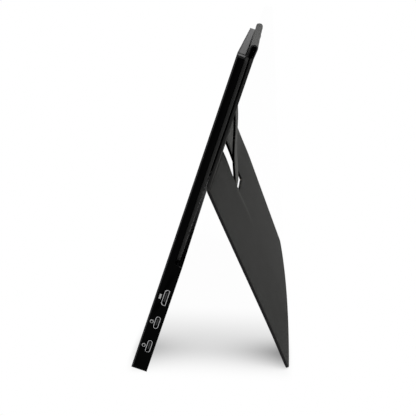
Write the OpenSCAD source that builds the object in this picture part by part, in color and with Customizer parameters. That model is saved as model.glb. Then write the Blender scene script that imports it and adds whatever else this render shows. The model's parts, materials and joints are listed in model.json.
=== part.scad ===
// Portable monitor with a folding leather cover, standing on the cover's stand panel.
// The monitor leans back on its bottom edge. The cover is held in a recess behind the
// screen, loops over the top edge, hangs down the back and opens into a stand.
//
// Frame of the part: +X to the right as seen from the front, the screen faces -Y, +Z up,
// and the origin is on the table, in the middle of the footprint.
// Slab frame, used below: x as above, y behind the rear face of the thick part, z up the slab.

/* [Case] */
// Width of the monitor
case_w = 356; // [320:1:420]
// Height of the monitor, measured along the slab
case_h = 224; // [200:1:270]
// Thickness of the lower part, which holds the electronics
thick_t = 11.0; // [10.6:0.1:14]
// Depth of the recess behind the upper part, where the cover sits
recess_t = 5.6; // [5.4:0.1:6]
// Height of the thick lower part
step_h = 80; // [78:0.5:90]
// Radius of the case's four corners, seen from the front
corner_r = 3; // [1.5:0.5:8]
// Chamfer on the case's long edges
edge_c = 0.5; // [0.2:0.1:0.8]
// Side wall of the case
case_wall = 1.2; // [1:0.1:1.6]
// Rear wall behind the screen
thin_wall = 0.8; // [0.6:0.1:0.9]
// Rear wall behind the electronics
back_wall = 1.2; // [1:0.1:1.5]

/* [Screen] */
// Bezel beside the picture area
side_border = 5.9; // [5.2:0.1:12]
// Bezel above the picture area
top_border = 7; // [6:0.5:9]
// Bezel below the picture area
bottom_border = 23.4; // [21:0.1:25]
// Thickness of the front bezel
bezel_t = 1.0; // [0.8:0.1:1.2]
// Thickness of the adhesive under the bezel
tape_t = 0.2; // [0.1:0.05:0.3]
// Thickness of the display cell
cell_t = 1.1; // [0.9:0.1:1.2]
// Thickness of the diffuser sheets
sheet_t = 0.45; // [0.3:0.05:0.5]
// Thickness of the light guide
guide_t = 0.6; // [0.4:0.1:0.7]
// Sheet steel of the backlight tray
tray_t = 0.3; // [0.2:0.05:0.4]
// Rim of the display cell outside the picture area
cell_rim = 2.5; // [1.5:0.1:2.8]
// Rim of the display cell below the picture area
cell_chin = 5; // [3:0.5:8]

/* [Ports] */
// Height of the mini video port above the bottom edge
video_port_z = 55.8; // [50:0.1:60]
// Height of the upper charging port above the bottom edge
upper_port_z = 37.1; // [34:0.1:42]
// Height of the lower charging port above the bottom edge
lower_port_z = 19.1; // [16:0.1:24]
// Length of a charging port's shell
usb_l = 8.94; // [8.9:0.01:9]
// Height of a charging port's shell
usb_t = 3.26; // [3.2:0.01:3.3]
// Length of the video port's shell
video_l = 11.2; // [11:0.1:11.4]
// Height of the video port's shell
video_t = 3.2; // [3.1:0.1:3.3]
// Sheet metal of the port shells
shell_t = 0.3; // [0.2:0.05:0.4]
// Depth of the port shells
port_depth = 7.5; // [7:0.1:9]
// Distance of the shells' mouths behind the side face
port_inset = 0.4; // [0.2:0.1:0.8]
// Distance of the port marks in front of the ports' centre line
mark_shift = 3.6; // [3:0.1:4]
// Size of a port mark
mark_d = 2.6; // [2:0.1:3]

/* [Controls] */
// Height of the power button above the bottom edge
power_z = 63; // [60:0.5:66]
// Height of the menu rocker above the bottom edge
rocker_z = 44; // [41:0.5:46]
// Length of the power button
power_l = 9; // [7:0.5:11]
// Length of the menu rocker
rocker_l = 15; // [12:0.5:17]
// Width of both controls
control_w = 2.6; // [2:0.1:3]
// Height of both controls above the side face
control_out = 0.5; // [0.4:0.05:0.8]
// Travel of the power button
power_travel = 0.4; // [0.2:0.05:0.5]
// Height of the audio jack above the bottom edge
jack_z = 22; // [18:0.5:26]
// Bore of the audio jack
jack_bore = 3.6; // [3.56:0.02:3.7]

/* [Electronics] */
// Thickness of the main and key boards
board_t = 0.8; // [0.6:0.1:1]
// Width of the main board
board_w = 90; // [70:1:110]
// Height of the main board
board_h = 64; // [60:1:70]
// Length of a loudspeaker
speaker_l = 40; // [30:1:44]
// Height of a loudspeaker
speaker_h = 16; // [12:1:18]
// Distance between the right loudspeaker and the main board
speaker_clear = 11.3; // [6:0.1:14]
// Width of the sound slots
slot_w = 1.2; // [0.8:0.1:1.6]
// Spacing of the sound slots
slot_pitch = 3; // [2.6:0.1:4]
// Thickness of the magnets in the case
case_magnet_t = 0.65; // [0.4:0.05:0.7]

/* [Cover] */
// Thickness of a cover panel
panel_t = 2.2; // [2:0.1:2.2]
// Thickness of the leather wrap
wrap_t = 0.5; // [0.4:0.05:0.6]
// Thickness of the lining
lining_t = 0.45; // [0.3:0.05:0.5]
// Distance of the rear plate's side edges from the case's side
plate_inset = 2; // [1:0.5:6]
// Distance of the flap's side edges from the case's side
flap_inset = 8; // [6:0.5:14]
// Distance of the stand's bottom corners from the case's side
foot_inset = 16; // [8:0.5:24]
// Corner radius of the rear plate
plate_r = 6; // [3:0.5:8]
// Corner radius of the stand's foot
panel_r = 3; // [1:0.5:6]
// Gap between the flap and the rear plate behind it
flap_gap = 1.0; // [0.8:0.1:1.2]
// Height of the stand's fold line above the bottom edge
fold_z = 133.5; // [125:0.5:140]
// Width of the groove along the stand's fold line
groove_w = 3; // [2.8:0.1:4]
// Length of the stand panel below its fold line
stand_l = 139; // [132:0.5:144]
// Angle between the open stand and the flap
open_angle = 41.5; // [36:0.5:46]

/* [Strut] */
// Width of the slot through the flap and the stand
slot_open_w = 52; // [34:1:60]
// Length of the slot on each side of the fold line
slot_half_l = 37; // [30:1:40]
// Clearance on each side of the strut
strut_side_gap = 2; // [1:0.5:4]
// Clearance between the strut's tip and the slot's end
strut_tip_gap = 0.6; // [0.5:0.1:1.5]

/* [Top loop] */
// Height of the loop's pivots above the case's top edge
loop_rise = 4.8; // [4.5:0.1:8]
// Width of the loop, between the middles of its two sides
loop_w = 4.9; // [4.6:0.1:6]
// Thickness of the loop's leather
loop_t = 0.9; // [0.7:0.1:1]

/* [Hidden] */
$fn = 48;
eps = 0.02;      // overlap that makes a cut clean
fit = 0.05;      // clearance between pieces that are glued or clipped together
board_gap = 0.5; // clearance between the boards and the case

// Depths behind the case's front face
tape_y = bezel_t;
cell_y = tape_y + tape_t;
sheet_y = cell_y + cell_t + fit;
guide_y = sheet_y + sheet_t + fit;
tray_y = guide_y + guide_t + fit;
tray_back_y = tray_y + tray_t;
thin_t = thick_t - recess_t;
thin_inner_y = thin_t - thin_wall;
thick_inner_y = thick_t - back_wall;
board_back_y = thick_inner_y - board_gap;
board_y = board_back_y - board_t;
port_y = board_y - usb_t / 2;

// Screen outline
view_w = case_w - 2 * side_border;
view_h = case_h - top_border - bottom_border;
view_z = bottom_border;
cell_w = view_w + 2 * cell_rim;
cell_z0 = view_z - cell_chin;
cell_z1 = view_z + view_h + cell_rim;
tray_w = cell_w + 2 * (tray_t + 3 * fit);
guide_z0 = cell_z0 + 2.8;
lip_t = 0.8;     // locating lip behind the bezel
lip_h = 0.9;

// Electronics
side_x = case_w / 2;
inner_x = side_x - case_wall;
board_x1 = inner_x - board_gap;
board_x0 = board_x1 - board_w;
board_z0 = 8;
key_w = 18;
key_h = 64;
flange = 0.7;     // how far a control's flange reaches past its hole
flange_t = 0.8;
key_x0 = -inner_x + flange_t + power_travel + board_gap; // clear of the controls' flanges
driver_z0 = cell_z0 + 6;
driver_h = 12;
driver_l = cell_w * 0.68;
driver_t = 0.6;
driver_y = tray_back_y + fit;
ribbon_t = 0.2;
ribbon_w = 8;
ribbon_z = 33;
screw_r = 0.9;
screw_head_r = 1.8;
screw_head_t = 0.9;
boss_r = 2.3;
screw_edge = 3.4; // distance of the screws from the boards' edges
can_x = 30;       // shield can on the main board, above the signal cable's end
can_z = driver_z0 + driver_h + 2.6;
can_w = 36;
can_h = 28;
can_t = 2.4;
flex_pitch = cell_w / 6;
flex_w = flex_pitch / 2;
switch_l = 3;
switch_h = 3.5;
speaker_z0 = 4.5;
speaker_x = board_x0 - speaker_clear - speaker_l / 2;
speaker_y0 = driver_y + driver_t + 0.5;
speaker_y1 = thick_inner_y - 0.3;
cone_r = speaker_h * 0.4;
cone_depth = 1.2;
slot_count = floor((speaker_l - 8) / slot_pitch / 2);
slot_l = speaker_h * 0.6;
jack_w = 6;
jack_l = 14;
jack_y = board_y - 2.4;
control_y = port_y;
hole_gap = 0.15;
switch_gap = 0.1;
mark_t = 0.15;      // the marks are inlaid this deep, flush with the side face
magnet_w = 18;
magnet_h = 8;
magnet_x = [case_w * 0.168, case_w * 0.365];      // places of the magnets, from the middle
flap_magnet_x = [case_w * 0.14, case_w * 0.393];
magnet_t = panel_t - wrap_t - lining_t - 2 * fit;
magnet_y = tray_back_y + fit;

// Cover: distances behind the rear face of the thick part (negative is towards the screen)
flap_y = -panel_t;
plate_y = flap_y - flap_gap - panel_t;
fold_y = -panel_t / 2;
plate_z0 = step_h + 0.7;
panel_top_z = case_h - 1.5;
flap_z0 = fold_z + groove_w / 2;
plate_hw = side_x - plate_inset;
flap_hw = side_x - flap_inset;
foot_hw = side_x - foot_inset;

// Strut: it hinges in the outer skin of the flap, above the fold line
strut_w = slot_open_w - 2 * strut_side_gap;
strut_axis_y = -lining_t / 2;
strut_axis_z = fold_z + slot_half_l - lining_t / 2 - fit;
strut_root = 1.2;  // bare stretch that the strut's hinge leather spans
strut_cut = 9;     // cut corners of the strut's tip
strut_back = lining_t / 2; // the strut's rear face, from its hinge
strut_l = strut_span(open_angle) - strut_tip_gap - panel_t / 2 * tan(open_angle / 2);

// Loop pivots, in the slab frame
loop_z = case_h + loop_rise;
loop_y0 = plate_y + loop_t / 2; // the loop rises flush with the plate's front
loop_y1 = loop_y0 + loop_w;
loop_hw = flap_hw;
leg_gap = 0.1;

// The table passes under the case's chamfered bottom edge and under the stand's inner corner
foot_y = fold_y + stand_l * sin(open_angle) - panel_t / 2 * cos(open_angle);
foot_z = fold_z - stand_l * cos(open_angle) - panel_t / 2 * sin(open_angle);
tilt = atan2(foot_z, foot_y + edge_c);
lift = -edge_c * sin(tilt);
foot_back = (foot_y + panel_t * cos(open_angle)) * cos(tilt)
    + (foot_z + panel_t * sin(open_angle)) * sin(tilt);
front_edge = -thick_t * cos(tilt);
shift = -(front_edge + foot_back) / 2;

// Distance from the strut's hinge to the slot's far end, with the stand open by an angle.
// The far end lies slot_half_l below the fold line, in the middle of the stand panel.
function strut_span(angle) =
    let (y = fold_y + slot_half_l * sin(angle) - strut_axis_y,
         z = fold_z - slot_half_l * cos(angle) - strut_axis_z)
    norm([y, z]);

// ---------------------------------------------------------------- placing

// Slab frame to the part's frame
module slab() {
    translate([0, shift, lift]) rotate([-tilt, 0, 0]) children();
}

// Slab frame with y counted from the case's front face
module from_front() {
    slab() translate([0, -thick_t, 0]) children();
}

// Frame of the open stand: origin on the fold line, z up the panel, y out of its back
module on_stand() {
    slab() translate([0, fold_y, fold_z]) rotate([open_angle, 0, 0]) children();
}

// Frame of the strut: origin on its hinge, z up the strut
module on_strut() {
    slab() translate([0, strut_axis_y, strut_axis_z]) rotate([open_angle / 2, 0, 0]) children();
}

// A flat outline in x and z, given a thickness along y from y0
module sheet_at(y0, t) {
    translate([0, y0 + t, 0]) rotate([90, 0, 0]) linear_extrude(height = t) children();
}

// A flat outline in y and z, extruded along x from x0
module along_x(x0, length) {
    translate([x0, 0, 0]) rotate([90, 0, 90]) linear_extrude(height = length) children();
}

module mirror_pair() {
    children();
    mirror([1, 0, 0]) children();
}

// ---------------------------------------------------------------- outlines

module round_rect(hw, z0, z1, r) {
    translate([-hw + r, z0]) square([2 * (hw - r), z1 - z0]);
    translate([-hw, z0 + r]) square([2 * hw, z1 - z0 - 2 * r]);
    for (x = [-hw + r, hw - r], z = [z0 + r, z1 - r]) translate([x, z]) circle(r);
}

module case_outline(inset) {
    round_rect(side_x - inset, inset, case_h - inset, max(corner_r - inset, 0.6));
}

// A slot with round ends, long along z
module stadium(length, width) {
    translate([-width / 2, -(length - width) / 2]) square([width, length - width]);
    for (z = [-1, 1]) translate([0, z * (length - width) / 2]) circle(d = width);
}

// The video port's outline: full length at its rear, with cut corners at its front
module video_outline(grow) {
    w = video_t / 2 + grow;
    l = video_l / 2 + grow;
    cut = 1.1;
    polygon([[-w, -l + cut], [-w, l - cut], [-w + cut, l], [w, l], [w, -l], [-w + cut, -l]]);
}

function unit(v) = v / norm(v);

// Points of a rounded convex corner at b, between a and c, turning left
function corner_arc(a, b, c, r, n = 6) =
    let (u = unit(a - b), v = unit(c - b), half = acos(u * v) / 2,
         centre = b + unit(u + v) * r / sin(half), start = b + u * r / tan(half) - centre)
    [for (i = [0 : n]) let (t = (180 - 2 * half) * i / n)
        centre + [start.x * cos(t) - start.y * sin(t), start.x * sin(t) + start.y * cos(t)]];

// The stand panel: straight fold edge, slightly narrower foot, round foot corners
module stand_outline(inset) {
    slope = (flap_hw - foot_hw) / stand_l;
    top = -groove_w / 2 - inset;
    low = -stand_l + inset;
    a = [flap_hw + top * slope - inset, top];
    b = [-a.x, top];
    c = [-(flap_hw + low * slope - inset), low];
    d = [-c.x, low];
    r = panel_r - inset;
    polygon(concat([a, b], corner_arc(b, c, d, r), corner_arc(c, d, a, r)));
}

// Slot in the flap or the stand, from the fold line to its closed end
module slot_outline(end_z) {
    hw = slot_open_w / 2;
    translate([-hw, min(end_z, 0)]) square([2 * hw, abs(end_z)]);
}

module flap_outline(inset) {
    translate([-flap_hw + inset, flap_z0 + inset])
        square([2 * (flap_hw - inset), panel_top_z - flap_z0 - 2 * inset]);
}

module plate_outline(inset) {
    round_rect(plate_hw - inset, plate_z0 + inset, panel_top_z - inset, plate_r - inset);
}

module strut_outline() {
    hw = strut_w / 2;
    polygon([[hw, -strut_root], [-hw, -strut_root], [-hw, -strut_l + strut_cut],
             [-hw + strut_cut, -strut_l], [hw - strut_cut, -strut_l], [hw, -strut_l + strut_cut]]);
}

// Cells of a cover panel's magnets: pairs in x, at height z
module magnet_outlines(x_list, z, grow) {
    for (x = x_list, s = [-1, 1])
        translate([s * x - magnet_w / 2 - grow, z - magnet_h / 2 - grow])
            square([magnet_w + 2 * grow, magnet_h + 2 * grow]);
}

// ---------------------------------------------------------------- screen

module front_bezel() {
    color([0.04, 0.04, 0.045]) from_front() {
        difference() {
            union() {
                sheet_at(0, bezel_t) case_outline(0);
                sheet_at(bezel_t - eps, lip_h + eps) case_outline(case_wall + fit);
            }
            sheet_at(-eps, bezel_t + 2 * eps) view_window(0.2);
            sheet_at(bezel_t, lip_h + eps) case_outline(case_wall + fit + lip_t);
        }
    }
}

module view_window(grow) {
    translate([-view_w / 2 - grow, view_z - grow])
        square([view_w + 2 * grow, view_h + 2 * grow]);
}

module cell_rect(inset) {
    translate([-cell_w / 2 + inset, cell_z0 + inset])
        square([cell_w - 2 * inset, cell_z1 - cell_z0 - 2 * inset]);
}

module bezel_tape() {
    color([0.1, 0.1, 0.1]) from_front() sheet_at(tape_y, tape_t) difference() {
        cell_rect(0);
        view_window(0.6);
    }
}

module display_cell() {
    color([0.02, 0.02, 0.03]) from_front() sheet_at(cell_y, cell_t) cell_rect(0);
}

module diffuser_sheets() {
    color([0.92, 0.92, 0.9]) from_front() sheet_at(sheet_y, sheet_t) cell_rect(0.2);
}

module light_guide() {
    color([0.85, 0.9, 0.92]) from_front() sheet_at(guide_y, guide_t)
        translate([-cell_w / 2 + 0.2, guide_z0]) square([cell_w - 0.4, cell_z1 - 0.2 - guide_z0]);
}

module led_strip() {
    color([0.95, 0.93, 0.7]) from_front() sheet_at(guide_y, guide_t)
        translate([-cell_w / 2 + 1, cell_z0 + 0.2]) square([cell_w - 2, guide_z0 - cell_z0 - 0.4]);
}

// Folded steel tray: a back sheet with a rim, lower along the bottom for the flex strips
module backlight_tray() {
    rim = tray_t + 2 * fit;
    color([0.7, 0.71, 0.72]) from_front() difference() {
        sheet_at(cell_y + fit, tray_back_y - cell_y - fit) cell_rect(-rim);
        sheet_at(cell_y, tray_y - cell_y) cell_rect(-rim + tray_t);
        sheet_at(cell_y, sheet_y - cell_y)
            translate([-tray_w, cell_z0 - 2 * rim]) square([2 * tray_w, 3 * rim]);
    }
}

module tray_tape() {
    t = thin_inner_y - tray_back_y - 2 * fit;
    strip = 5;
    inset = 6;
    low = step_h + 8;
    high = cell_z1 - 4.5;
    color([0.15, 0.15, 0.15]) from_front() sheet_at(tray_back_y + fit, t) {
        translate([-cell_w / 2 + inset, high - strip]) square([cell_w - 2 * inset, strip]);
        for (s = [-1, 1]) translate([s * (cell_w / 2 - inset - strip / 2) - strip / 2, low])
            square([strip, high - 2 * strip - low]);
    }
}

// Four flex strips that wrap from the cell's bottom edge to the driver board
module panel_flexes() {
    t = 0.15;
    low = cell_z0 - 1.4;
    outer = driver_y + driver_t + 2 * t;
    top = driver_z0 + 6;
    color([0.75, 0.5, 0.2]) from_front() for (i = [-1.5 : 1.5])
        along_x(i * flex_pitch - flex_w / 2, flex_w) difference() {
            translate([cell_y + 0.4, low]) square([outer - cell_y - 0.4, top - low]);
            translate([cell_y + 0.4 + t, low + t])
                square([outer - cell_y - 0.4 - 2 * t, top - low]);
            translate([cell_y, cell_z0 - fit]) square([cell_t, top]);
        }
}

module driver_board() {
    color([0.05, 0.3, 0.15]) from_front() sheet_at(driver_y, driver_t)
        translate([-driver_l / 2, driver_z0]) square([driver_l, driver_h]);
}

// Flat cable from the driver board's back to the main board's front
module signal_cable() {
    y0 = driver_y + driver_t + fit;
    y1 = board_y - fit;
    t = 0.25;
    pad = 6;
    x0 = driver_l / 2 - pad - 2;
    x1 = x0 + 14;
    color([0.12, 0.12, 0.13]) from_front() translate([0, 0, driver_z0 + 1])
        linear_extrude(height = driver_h - 2)
            polygon([[x0 - pad, y0], [x0, y0], [x1, y1 - t], [x1 + pad, y1 - t],
                     [x1 + pad, y1], [x1 - t, y1], [x0 - t, y0 + t], [x0 - pad, y0 + t]]);
}

// ---------------------------------------------------------------- electronics

// Places a child at each screw of a board with the given corner and size
module board_corners(x0, z0, w, h, e) {
    for (x = [x0 + e, x0 + w - e], z = [z0 + e, z0 + h - e]) translate([x, 0, z]) children();
}

module screw_places() {
    board_corners(board_x0, board_z0, board_w, board_h, screw_edge) children();
    for (z = [board_z0 + 2.4, board_z0 + key_h - 2.4])
        translate([key_x0 + key_w - screw_edge, 0, z]) children();
}

// A round bar along y, from y0 to y1
module bar_y(r, y0, y1) {
    translate([0, y1, 0]) rotate([90, 0, 0]) cylinder(r = r, h = y1 - y0);
}

module main_board() {
    color([0.05, 0.35, 0.18]) from_front() difference() {
        sheet_at(board_y, board_t) translate([board_x0, board_z0]) square([board_w, board_h]);
        screw_places() bar_y(screw_r + 0.15, board_y - eps, board_back_y + eps);
    }
}

module key_board() {
    color([0.05, 0.35, 0.18]) from_front() difference() {
        sheet_at(board_y, board_t) translate([key_x0, board_z0]) square([key_w, key_h]);
        screw_places() bar_y(screw_r + 0.15, board_y - eps, board_back_y + eps);
    }
}

module can_outline(inset) {
    translate([board_x0 + can_x + inset, can_z + inset])
        square([can_w - 2 * inset, can_h - 2 * inset]);
}

module shield_can() {
    color([0.75, 0.76, 0.77]) from_front() difference() {
        sheet_at(board_y - can_t, can_t - fit) can_outline(0);
        sheet_at(board_y - can_t + tray_t, can_t) can_outline(tray_t);
    }
}

// Scaler chip under the can, then a memory chip, a regulator and a coil beside it
module board_chips() {
    color([0.08, 0.08, 0.09]) from_front() {
        chip(board_x0 + can_x + 8, can_z + 6, 17, 17, 1.3);
        chip(board_x0 + 8, board_z0 + 30, 8, 6, 1.0);
        chip(board_x0 + 10, board_z0 + 46, 6, 6, 1.0);
        chip(board_x0 + 18, board_z0 + 8, 7, 7, 2.4);
    }
}

module chip(x, z, w, h, t) {
    sheet_at(board_y - t - fit, t) translate([x, z]) square([w, h]);
}

// A port's sheet metal shell, closed at its inner end
module port_shell(z) {
    x0 = side_x - port_inset - port_depth;
    translate([0, port_y, z]) difference() {
        along_x(x0, port_depth) children(0);
        along_x(x0 + 2 * shell_t, port_depth) children(1);
    }
}

// A port's contact blade, standing on a block at the shell's inner end
module port_blade(z, l, w) {
    x0 = side_x - port_inset - port_depth + 2 * shell_t + fit;
    block = 1.2;
    reach = port_depth - 2 * shell_t - 1;
    translate([x0, port_y, z]) {
        translate([0, -w / 2, -l / 2]) cube([block, w, l]);
        translate([0, -0.35, -l * 0.4]) cube([reach, 0.7, l * 0.8]);
    }
}

module usb_socket(z) {
    color([0.72, 0.73, 0.75]) from_front() port_shell(z) {
        stadium(usb_l, usb_t);
        stadium(usb_l - 2 * shell_t, usb_t - 2 * shell_t);
    }
}

module usb_blade(z) {
    color([0.06, 0.06, 0.06]) from_front()
        port_blade(z, usb_l - usb_t, usb_t - 2 * shell_t - 2 * fit);
}

module usb_socket_upper() { usb_socket(upper_port_z); }
module usb_socket_lower() { usb_socket(lower_port_z); }
module usb_blade_upper() { usb_blade(upper_port_z); }
module usb_blade_lower() { usb_blade(lower_port_z); }

module video_socket() {
    color([0.72, 0.73, 0.75]) from_front() port_shell(video_port_z) {
        video_outline(0);
        video_outline(-shell_t);
    }
}

module video_blade() {
    color([0.06, 0.06, 0.06]) from_front()
        port_blade(video_port_z, video_l - 3.4, video_t - 2 * shell_t - 2 * fit);
}

// Marks beside the ports: a bar for video, rings for charging
module mark_outline(grow) {
    translate([0, video_port_z]) square([1.4 + 2 * grow, 3.4 + 2 * grow], center = true);
    for (z = [upper_port_z, lower_port_z]) translate([0, z]) circle(d = mark_d + 2 * grow);
}

module port_marks() {
    color([0.9, 0.9, 0.9]) from_front() translate([0, port_y - mark_shift, 0])
        along_x(side_x - mark_t, mark_t) difference() {
            mark_outline(0);
            for (z = [upper_port_z, lower_port_z])
                translate([0, z - 0.2]) circle(d = mark_d - 0.9);
        }
}

// Tact switches behind the controls: one for power, one at each end of the rocker
module key_switches() {
    color([0.12, 0.12, 0.12]) from_front() {
        tact(power_z, inner_x - flange_t - fit - power_travel - switch_gap);
        for (s = [-1, 1]) tact(rocker_z + s * rocker_l * 0.3, inner_x - flange_t - fit - 0.55);
    }
}

module tact(z, x_face) {
    translate([-x_face, control_y - 1, z - switch_h / 2])
        cube([switch_l, board_y - fit - control_y + 1, switch_h]);
}

module key_cable() {
    y = (board_back_y + thick_inner_y - ribbon_t) / 2;
    color([0.85, 0.85, 0.82]) from_front() sheet_at(y, ribbon_t)
        translate([key_x0 + 6, ribbon_z - ribbon_w / 2])
            square([board_x0 + 6 - key_x0 - 6, ribbon_w]);
}

module jack_bar(r, x0, x1) {
    translate([-side_x + x0, jack_y, jack_z]) rotate([0, 90, 0]) cylinder(r = r, h = x1 - x0);
}

module audio_jack() {
    color([0.05, 0.05, 0.05]) from_front() difference() {
        union() {
            jack_bar(2.7, 0.1, case_wall + 1);
            translate([-inner_x + 0.2, jack_y - 2.3, jack_z - jack_w / 2])
                cube([jack_l, 2.3 + board_y - fit - jack_y, jack_w]);
        }
        jack_bar(jack_bore / 2, -eps, jack_l - 1);
    }
}

module speaker(x) {
    color([0.07, 0.07, 0.07]) from_front() translate([x, 0, 0]) difference() {
        sheet_at(speaker_y0, speaker_y1 - speaker_y0)
            round_rect(speaker_l / 2, speaker_z0, speaker_z0 + speaker_h, 1.5);
        translate([0, 0, speaker_z0 + speaker_h / 2])
            bar_y(cone_r, speaker_y1 - cone_depth, speaker_y1 + eps);
    }
}

module speaker_left() { speaker(-speaker_x); }
module speaker_right() { speaker(speaker_x); }

// Shallow cones, seated in the round recess of each loudspeaker
module speaker_cones() {
    color([0.2, 0.2, 0.2]) from_front() for (s = [-1, 1])
        translate([s * speaker_x, speaker_y1 - cone_depth + fit, speaker_z0 + speaker_h / 2])
            rotate([-90, 0, 0]) difference() {
                cylinder(r = cone_r - fit, h = 0.9);
                translate([0, 0, 0.3]) cylinder(r1 = cone_r * 0.4, r2 = cone_r * 0.85, h = 0.61);
            }
}

module board_screws() {
    color([0.8, 0.8, 0.8]) from_front() screw_places() {
        bar_y(screw_head_r, board_y - fit - screw_head_t, board_y - fit);
        bar_y(screw_r, board_y - fit - eps, thick_inner_y + back_wall / 2 - fit);
    }
}

module case_magnets() {
    color([0.6, 0.6, 0.62]) from_front() sheet_at(magnet_y, case_magnet_t)
        plate_magnet_outlines(0);
}

module plate_magnet_outlines(grow) {
    plate_h = panel_top_z - plate_z0;
    for (share = [0.16, 0.76]) magnet_outlines(magnet_x, plate_z0 + share * plate_h, grow);
}

// ---------------------------------------------------------------- rear cover

// Side view of the rear cover: thin behind the screen, thick below the step
module case_profile() {
    back = -recess_t;
    front = -thick_t + bezel_t;
    polygon([[front, 0], [-edge_c, 0], [0, edge_c], [0, step_h - edge_c], [-edge_c, step_h],
             [back, step_h], [back, case_h - edge_c], [back - edge_c, case_h], [front, case_h]]);
}

// Rounded inner space of the thick part
module lower_space() {
    round_rect(inner_x, case_wall, step_h - case_wall, max(corner_r - case_wall, 0.6));
}

module control_holes() {
    translate([0, control_y, power_z])
        along_x(-side_x - 1, case_wall + 2) stadium(power_l + 2 * hole_gap, control_w + 2 * hole_gap);
    translate([0, control_y, rocker_z])
        along_x(-side_x - 1, case_wall + 2) stadium(rocker_l + 4 * hole_gap, control_w + 2 * hole_gap);
    jack_bar(2.7 + fit, -1, case_wall + 1);
}

module port_holes() {
    x0 = inner_x - 1;
    for (z = [upper_port_z, lower_port_z]) translate([0, port_y, z])
        along_x(x0, case_wall + 2) stadium(usb_l + 4 * fit, usb_t + 4 * fit);
    translate([0, port_y, video_port_z]) along_x(x0, case_wall + 2) video_outline(2 * fit);
    translate([0, port_y - mark_shift, 0]) along_x(side_x - mark_t, 1) mark_outline(0);
}

module sound_slots() {
    for (s = [-1, 1], i = [-slot_count : slot_count])
        sheet_at(thick_inner_y - eps, back_wall + 1)
            translate([s * speaker_x + i * slot_pitch, speaker_z0 + speaker_h / 2])
                stadium(slot_l, slot_w);
}

module rear_cover() {
    color([0.035, 0.035, 0.04]) difference() {
        union() {
            difference() {
                intersection() {
                    slab() sheet_at(-thick_t + bezel_t, thick_t - bezel_t) case_outline(0);
                    slab() along_x(-side_x - 1, case_w + 2) case_profile();
                }
                from_front() {
                    sheet_at(bezel_t - 1, thin_inner_y - bezel_t + 1) case_outline(case_wall);
                    sheet_at(bezel_t - 1, thick_inner_y - bezel_t + 1) lower_space();
                }
            }
            from_front() screw_places() bar_y(boss_r, board_back_y + fit, thick_inner_y + eps);
        }
        from_front() {
            screw_places() bar_y(screw_r + fit, board_back_y, thick_inner_y + back_wall / 2);
            control_holes();
            port_holes();
            sound_slots();
        }
    }
}

// ---------------------------------------------------------------- controls

// Pill shaped button with a flange inside the case
module power_button() {
    color([0.05, 0.05, 0.055]) from_front() translate([0, control_y, power_z]) {
        along_x(-side_x - control_out, case_wall + control_out + fit + eps)
            stadium(power_l, control_w);
        along_x(-inner_x + fit, flange_t) stadium(power_l + 2 * flange, control_w + 2 * flange);
    }
}

// Rocker with a round back, so that it can tip both ways
module menu_rocker() {
    tip = 0.35; // room for each end to dip
    color([0.05, 0.05, 0.055]) from_front() translate([0, control_y, rocker_z]) {
        difference() {
            along_x(-side_x - control_out, case_wall + control_out + tip + eps)
                stadium(rocker_l, control_w);
            translate([-side_x - control_out, -control_w, -rocker_l * 0.09])
                cube([0.2, 2 * control_w, rocker_l * 0.18]);
        }
        along_x(-inner_x + tip, flange_t) stadium(rocker_l + 2 * flange, control_w + 2 * flange);
    }
}

// ---------------------------------------------------------------- cover panels

// The rear plate is wrapped from behind; its lining faces the monitor
module plate_wrap() {
    color([0.2, 0.2, 0.21]) slab() difference() {
        sheet_at(plate_y, panel_t) plate_outline(0);
        sheet_at(plate_y - eps, panel_t - wrap_t + eps) plate_outline(wrap_t);
    }
}

module plate_board() {
    color([0.45, 0.4, 0.33]) slab() sheet_at(plate_y + lining_t, panel_t - wrap_t - lining_t)
        difference() {
            plate_outline(wrap_t + fit);
            plate_magnet_outlines(fit);
        }
}

module plate_lining() {
    color([0.17, 0.17, 0.18]) slab() sheet_at(plate_y, lining_t - fit)
        plate_outline(wrap_t + fit);
}

module plate_magnets() {
    color([0.6, 0.6, 0.62]) slab() sheet_at(plate_y + lining_t + fit, magnet_t)
        plate_magnet_outlines(0);
}

// The flap, stand and strut are wrapped from the front; their lining is what shows behind
module flap_slot() {
    translate([0, fold_z]) slot_outline(slot_half_l);
}

module flap_magnet_outlines(grow) {
    magnet_outlines(flap_magnet_x, (flap_z0 + panel_top_z) / 2, grow);
}

module flap_wrap() {
    color([0.2, 0.2, 0.21]) slab() difference() {
        sheet_at(flap_y, panel_t) flap_outline(0);
        sheet_at(flap_y + wrap_t, panel_t) flap_outline(wrap_t);
        sheet_at(flap_y - 1, panel_t + 2) flap_slot();
    }
}

module flap_board() {
    color([0.45, 0.4, 0.33]) slab()
        sheet_at(flap_y + wrap_t + fit, panel_t - wrap_t - lining_t - fit) difference() {
            flap_outline(wrap_t + fit);
            flap_slot();
            flap_magnet_outlines(fit);
        }
}

module flap_lining() {
    color([0.22, 0.22, 0.23]) slab() sheet_at(-lining_t + fit, lining_t - fit) difference() {
        flap_outline(wrap_t + fit);
        flap_slot();
    }
}

module flap_magnets() {
    color([0.6, 0.6, 0.62]) slab() sheet_at(flap_y + wrap_t + fit, magnet_t)
        flap_magnet_outlines(0);
}

module stand_magnet_outlines(grow) {
    magnet_outlines(magnet_x, -stand_l + 1.5 * magnet_h, grow);
}

module stand_wrap() {
    color([0.2, 0.2, 0.21]) on_stand() difference() {
        sheet_at(fold_y, panel_t) stand_outline(0);
        sheet_at(fold_y + wrap_t, panel_t) stand_outline(wrap_t);
        sheet_at(fold_y - 1, panel_t + 2) slot_outline(-slot_half_l);
    }
}

module stand_board() {
    color([0.45, 0.4, 0.33]) on_stand()
        sheet_at(fold_y + wrap_t + fit, panel_t - wrap_t - lining_t - fit) difference() {
            stand_outline(wrap_t + fit);
            slot_outline(-slot_half_l);
            stand_magnet_outlines(fit);
        }
}

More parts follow.
